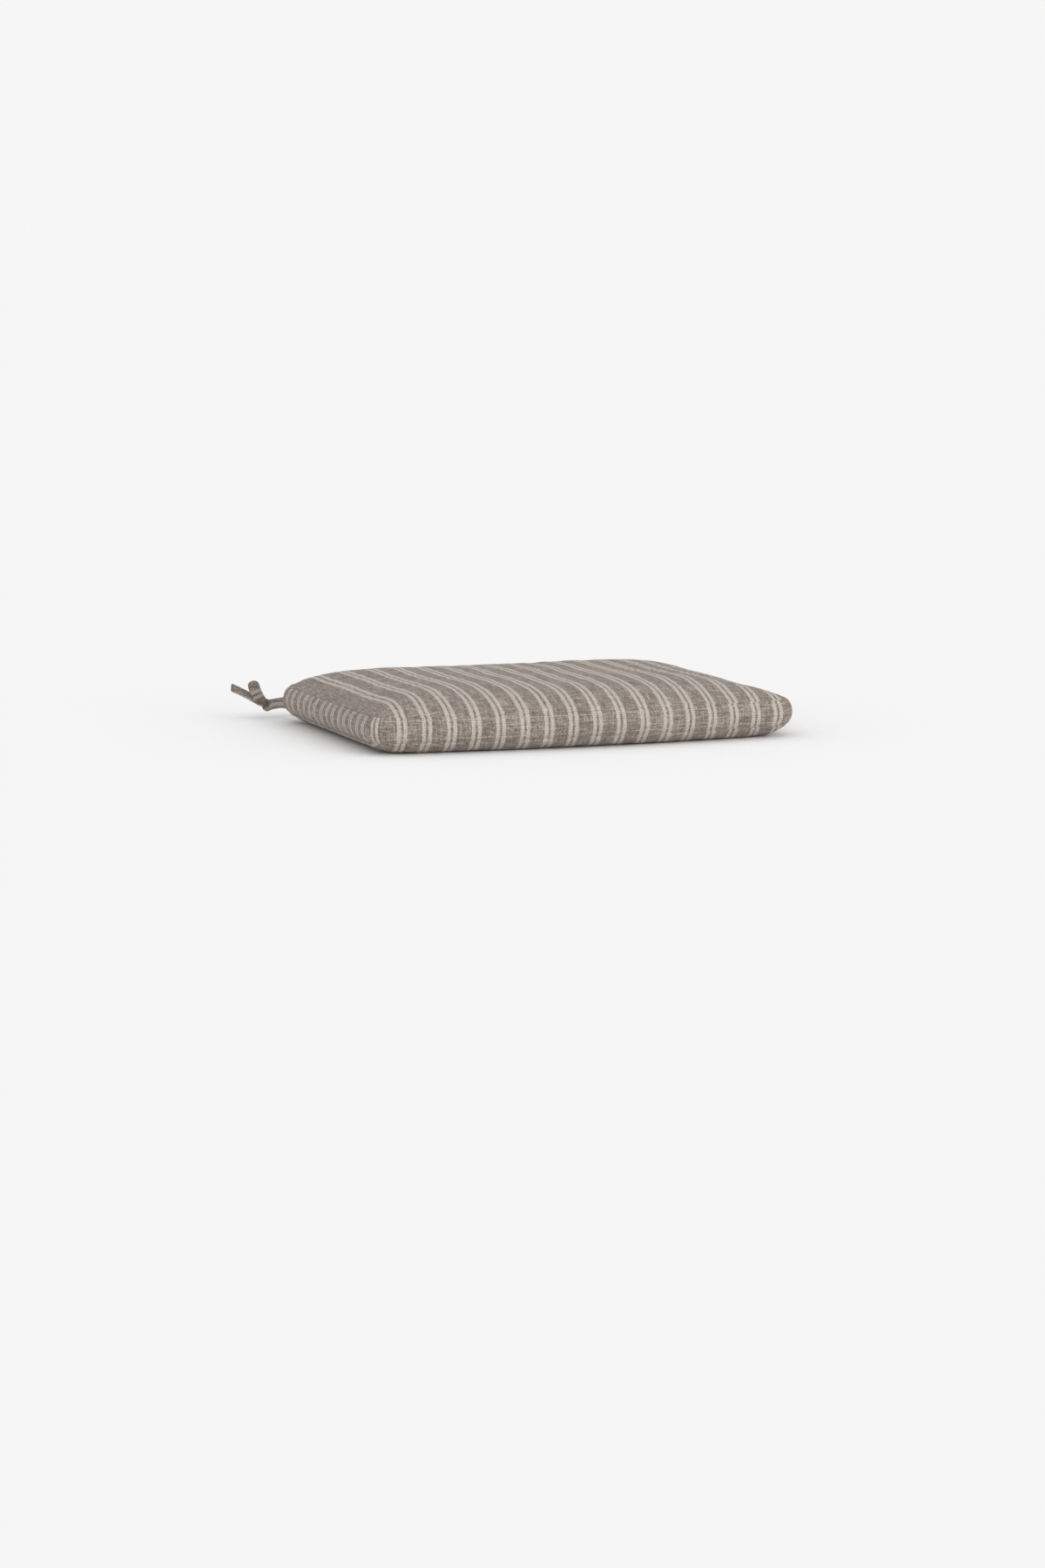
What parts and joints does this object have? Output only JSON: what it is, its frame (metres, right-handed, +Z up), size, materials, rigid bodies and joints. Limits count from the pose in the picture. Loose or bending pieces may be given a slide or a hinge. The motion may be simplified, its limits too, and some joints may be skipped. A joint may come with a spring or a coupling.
{
  "type": "chair seat pad",
  "caption": "Boxed seat pad for a dining chair: striped cloth cover with a back zip over foam and wadding, with ties at the back corners.",
  "frame": {"origin": "on the resting plane, below the middle of the cushion", "axes": "+X to the right as seen from the front, along the width; +Y from the front edge to the zipped back; +Z up"},
  "size_m": [0.5588, 0.4562, 0.062],
  "materials": {
    "ticking": "taupe slub weave with cream double stripes",
    "tie_cloth": "folded and edge-stitched strap of the same cloth",
    "foam": "open-cell foam",
    "wadding": "loose polyester fibre",
    "zip_tape": "woven tape",
    "zip_coil": "nylon coil",
    "zip_metal": "nickel-plated zinc",
    "thread": "twisted sewing thread"
  },
  "bodies": {
    "pad": {"top_panel": "ticking", "bottom_panel": "ticking", "front_boxing": "ticking", "left_boxing": "ticking", "right_boxing": "ticking", "back_boxing_upper": "ticking", "back_boxing_lower": "ticking", "foam_core": "foam", "wadding_top": "wadding", "wadding_bottom": "wadding", "topstitch_upper": "thread", "topstitch_lower": "thread", "zip_tape_upper": "zip_tape", "zip_tape_lower": "zip_tape", "zip_coil_upper": "zip_coil", "zip_coil_lower": "zip_coil", "zip_stop_left": "zip_metal", "zip_stop_right": "zip_metal", "tie_left_outer": "tie_cloth", "tie_left_inner": "tie_cloth", "tie_left_knot": "tie_cloth", "tie_left_wide_tail": "tie_cloth", "tie_left_narrow_tail": "tie_cloth", "tie_right_outer": "tie_cloth", "tie_right_inner": "tie_cloth", "tie_right_knot": "tie_cloth", "tie_right_wide_tail": "tie_cloth", "tie_right_narrow_tail": "tie_cloth"},
    "slider": {"zip_slider": "zip_metal"},
    "pull": {"zip_pull": "zip_metal"}
  },
  "joints": [
    {"name": "zip_slide", "type": "slide", "parent": "pad", "child": "slider", "axis": [-1, 0, 0], "range_m": [0, 0.39]},
    {"name": "pull_swing", "type": "hinge", "parent": "slider", "child": "pull", "pos_m": [0.1952, 0.19675, 0.026], "axis": [0, 0, -1], "range_deg": [0, 170]}
  ]
}
